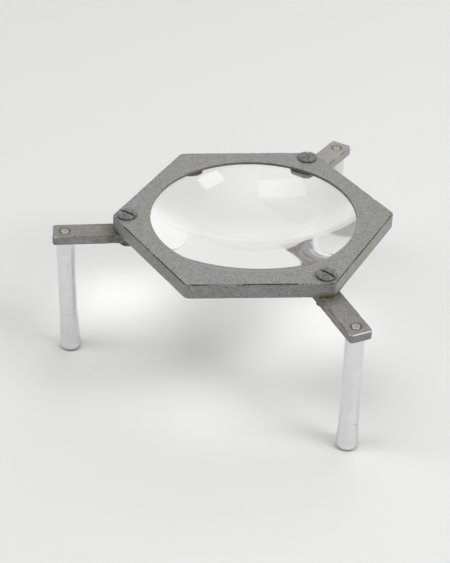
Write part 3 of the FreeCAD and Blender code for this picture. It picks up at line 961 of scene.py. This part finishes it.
lensGlass = {
    "tint": (0.998, 0.995, 0.985), "ior": 1.54, "roughness": 0.0,
    "gathered": 2.0, "spilled": 0.05, "gatherReach": (31.0, 36.0), "topSkin": 0.02,
    "seat": 46.6, "edgeSkin": 0.05, "rim": (0.29, 0.29, 0.28), "bounces": 3.5,
    "paintedSurroundings": [(0.0, 0.3), (0.2, 0.32), (0.365, 0.38), (0.38, 0.66), (0.44, 0.74), (0.55, 0.9), (0.8, 0.97),
               (1.0, 0.8)],
}


# What the camera sees through the lens is refracted. The light that falls through it on the desk goes
# straight on, made stronger near the axis and stopped near the rim, as the lens gathers it there. A ray
# that has bounced four times inside the glass is stopped, and shows a painted glow in place of the
# reflected surroundings, as bright as what lies beyond that side of the lens. The ground rim, and the
# glass seated under the lip, glow a fixed painted grey from inside.
def makeLensGlass(look):
    material, tree, shader = newFinish("lensGlass")
    setOn(tree, shader, colour=look["tint"], ior=look["ior"], roughness=look["roughness"], transmission=1.0)
    place = placeInMillimetres(tree)
    across, _, height = addNode(tree, "ShaderNodeSeparateXYZ", {0: place}).outputs
    radius = vectorMath(tree, "LENGTH", vectorMath(tree, "MULTIPLY", place, (1, 1, 0)))
    gathered = mapRange(tree, radius, look["gatherReach"], (look["gathered"], look["spilled"]), smooth=True)
    onTop = doMath(tree, "GREATER_THAN", height, lensTop - look["topSkin"])
    share = mapRange(tree, onTop, (0.0, 1.0), (1.0, gathered))
    through = addNode(tree, "ShaderNodeBsdfTransparent", {"Color": share}).outputs[0]
    onEdge = doMath(tree, "GREATER_THAN", height, lensTop - lensShape["edge"] + look["edgeSkin"])
    onRim = doMath(tree, "MULTIPLY", doMath(tree, "GREATER_THAN", radius, look["seat"]), onEdge)
    side = mapRange(tree, across, (-lensShape["radius"], lensShape["radius"]))
    # painted glow: a fixed grey on the rim, elsewhere a brightness by side that stands for the reflected surroundings
    colour = mixColours(tree, onRim, addRamp(tree, side, look["paintedSurroundings"]), look["rim"])
    paintedGlow = addNode(tree, "ShaderNodeEmission", {"Color": colour}).outputs[0]
    rays = tree.nodes.new("ShaderNodeLightPath").outputs
    stopped = doMath(tree, "MAXIMUM", doMath(tree, "GREATER_THAN", rays["Glossy Depth"], look["bounces"]), onRim)
    surface = mixShaders(tree, stopped, shader.outputs[0], paintedGlow)
    for kind in ("Is Diffuse Ray", "Is Shadow Ray"):
        surface = mixShaders(tree, rays[kind], surface, through)
    showInstead(material, surface)
    return material


def dress(piece, material):
    piece.data.materials.clear()
    piece.data.materials.append(material)


dress(hexagonFrame, makeFramePaint(framePaint))
armFinish = makeArmMetal(armMetal)
legFinish = makeLegMetal(legMetal)
screwFinish = makeHardwareMetal("darkScrewSteel", screwSteel)
nutFinish = makeHardwareMetal("darkNutSteel", nutSteel)
clipFinish = makeHardwareMetal("tarnishedBrass", clipBrass)
dress(readingLens, makeLensGlass(lensGlass))
for support in supports.values():
    dress(support["armPiece"], armFinish)
    dress(support["legPiece"], legFinish)
    dress(support["screwPiece"], screwFinish)
    dress(support["washerPiece"], nutFinish)
    dress(support["nutPiece"], nutFinish)
for clip in clips.values():
    dress(clip["clipPiece"], clipFinish)
    dress(clip["clip_screwPiece"], clipFinish)
print("materials")


# Floor: half its side is in metres. Its painted pool of light is an ellipse that starts at the first share of
# its half lengths and is whole at the second.
floorLook = {
    "halfSide": 6.0, "colour": (0.80, 0.80, 0.795), "roughness": 0.9, "specular": 0.1,
    "far": (0.79, 0.79, 0.785), "fade": (500.0, 1300.0),
    "paintedLightPool": {"place": (22.0, 110.0), "turn": -54.0, "half": (56.0, 21.0), "border": (1.0, 0.45),
               "colour": (0.93, 0.93, 0.93)},
}


# The pool of light that the lens throws behind the stand is painted into the floor's colour. Far out, where
# the lamps don't reach, the floor shows the room's pale colour.
def makeFloor(look):
    half = look["halfSide"]
    mesh = bpy.data.meshes.new("floor")
    mesh.from_pydata([(-half, -half, 0), (half, -half, 0), (half, half, 0), (-half, half, 0)], [], [(0, 1, 2, 3)])
    floor = bpy.data.objects.new("floor", mesh)
    bpy.context.scene.collection.objects.link(floor)
    material, tree, shader = newFinish("paleFloor")
    place = placeInMillimetres(tree)
    # painted pool of light: the floor is made brighter in an ellipse behind the stand
    paintedLightPool = look["paintedLightPool"]
    moved = vectorMath(tree, "SUBTRACT", place, (*paintedLightPool["place"], 0))
    aligned = stretched(tree, moved, (1, 1, 1), math.radians(paintedLightPool["turn"]))
    scaled = vectorMath(tree, "MULTIPLY", aligned, (1 / paintedLightPool["half"][0], 1 / paintedLightPool["half"][1], 0))
    share = mapRange(tree, vectorMath(tree, "LENGTH", scaled), paintedLightPool["border"], smooth=True)
    colour = mixColours(tree, share, look["colour"], paintedLightPool["colour"])
    setOn(tree, shader, colour=colour, roughness=look["roughness"], specular=look["specular"])
    farOut = mapRange(tree, vectorMath(tree, "LENGTH", place), look["fade"], smooth=True)
    pale = addNode(tree, "ShaderNodeEmission", {"Color": (*look["far"], 1)}).outputs[0]
    showInstead(material, mixShaders(tree, doMath(tree, "MULTIPLY", farOut, seenRays(tree)), shader.outputs[0], pale))
    mesh.materials.append(material)


makeFloor(floorLook)


# Camera: where it stands and what it looks at in millimetres, its roll in degrees and its focal length
cameraLook = {"place": (-42.714, -592.188, 447.416), "aim": (-14.977, -52.658, 71.77), "roll": 1.079, "lens": 99.713}


def makeCamera(look):
    data = bpy.data.cameras.new("camera")
    camera = bpy.data.objects.new("camera", data)
    bpy.context.scene.collection.objects.link(camera)
    back = (Vector(look["place"]) - Vector(look["aim"])).normalized()
    level = Vector((0, 0, 1)).cross(back).normalized()
    up = back.cross(level)
    c, s = math.cos(math.radians(look["roll"])), math.sin(math.radians(look["roll"]))
    turn = Matrix((c * level + s * up, c * up - s * level, back)).transposed()
    camera.matrix_world = Matrix.Translation(Vector(look["place"]) * millimetre) @ turn.to_4x4()
    data.lens = look["lens"]
    data.clip_start, data.clip_end = 0.01, 50
    bpy.context.scene.camera = camera


makeCamera(cameraLook)

# Softboxes: the direction they stand in, as degrees to the right and to the back of straight up, how far
# away and how large they are in metres, how they are turned, and their power in watts. Of two of them a
# share shows in mirror images, from a part of the size given. The rest stands for the light of pale walls.
softboxes = {
    "right": {"right": 40.0, "back": -26.0, "distance": 1.6, "size": (0.85, 0.75), "turn": 30.0, "power": 11.1,
              "seen": 0.42, "mirror": (0.64, 0.58)},
    "left": {"right": -25.0, "back": -10.0, "distance": 1.6, "size": (1.25, 0.75), "power": 7.5,
             "seen": 0.56, "mirror": (1.2, 0.72)},
    "behind": {"right": 16.0, "back": 34.0, "distance": 1.8, "size": (1.4, 1.0), "power": 7.1},
    "front": {"right": 30.0, "back": -55.0, "distance": 1.7, "size": (0.8, 0.7), "power": 1.1},
    "leftWall": {"right": -60.0, "back": 14.0, "distance": 1.7, "size": (0.9, 0.8), "power": 3.4},
    "rightWall": {"right": 60.0, "back": 30.0, "distance": 1.7, "size": (0.9, 0.8), "power": 3.2},
}
twinGap = 0.01  # metres between the seen and the unseen part of a softbox


def addLamp(name, look, seen, share, distance):
    towards = Vector((math.tan(math.radians(look["right"])), math.tan(math.radians(look["back"])), 1)).normalized()
    depth = towards.cross(Vector((1, 0, 0))).normalized()
    facing = Matrix((depth.cross(towards), depth, towards)).transposed().to_4x4()
    data = bpy.data.lights.new(name, "AREA")
    data.shape = "RECTANGLE"
    data.size, data.size_y = look["mirror"] if seen else look["size"]
    data.energy = look["power"] * share
    lamp = bpy.data.objects.new(name, data)
    bpy.context.scene.collection.objects.link(lamp)
    turn = Matrix.Rotation(math.radians(look.get("turn", 0.0)), 4, "Z")
    lamp.matrix_world = Matrix.Translation(towards * distance) @ facing @ turn
    lamp.visible_glossy = lamp.visible_transmission = seen


for name, look in softboxes.items():
    if "seen" in look:
        addLamp(name, look, True, look["seen"], look["distance"])
    addLamp(name, look, False, 1 - look.get("seen", 0.0), look["distance"] + twinGap)


# The room is plain white but for a grey gap between its walls, at the back on the left. Each side of the
# gap is two directions in degrees, and it starts between two heights.
room = {
    "strength": 0.23, "seen": 0.80, "sides": ((-62.0, -58.0), (-32.0, -33.5)), "low": (0.3, 0.36),
    "grain": (12.0, 2.0), "grainShare": 0.6, "heightShare": 0.7,
    "greys": [(0.48, (0.6, 0.63, 0.65)), (0.54, (0.46, 0.49, 0.52)), (0.6, (0.24, 0.25, 0.25)),
              (0.68, (0.36, 0.355, 0.34)), (0.74, (0.2, 0.185, 0.16))],
}


def makeRoom(look):
    world = bpy.data.worlds.new("studio")
    bpy.context.scene.world = world
    world.use_nodes = True
    tree = world.node_tree
    tree.nodes.clear()
    strength = mapRange(tree, seenRays(tree), (0.0, 1.0), (look["strength"], look["seen"]))
    direction = tree.nodes.new("ShaderNodeTexCoord").outputs["Generated"]
    x, y, z = addNode(tree, "ShaderNodeSeparateXYZ", {0: direction}).outputs
    azimuth = doMath(tree, "ARCTAN2", x, y)
    left, right = (mapRange(tree, azimuth, np.radians(side).tolist()) for side in look["sides"])
    inGap = doMath(tree, "MULTIPLY", left, right, mapRange(tree, z, look["low"]))
    uneven = weighted(tree, (addNoise(tree, direction, *look["grain"]), look["grainShare"]), (z, look["heightShare"]))
    colour = mixColours(tree, inGap, (1.0, 1.0, 1.0), addRamp(tree, uneven, look["greys"]))
    background = addNode(tree, "ShaderNodeBackground", {"Color": colour, "Strength": strength})
    output = tree.nodes.new("ShaderNodeOutputWorld")
    tree.links.new(background.outputs[0], output.inputs["Surface"])


makeRoom(room)
bpy.context.scene.view_settings.view_transform = "Standard"
print("floor, camera and lights")
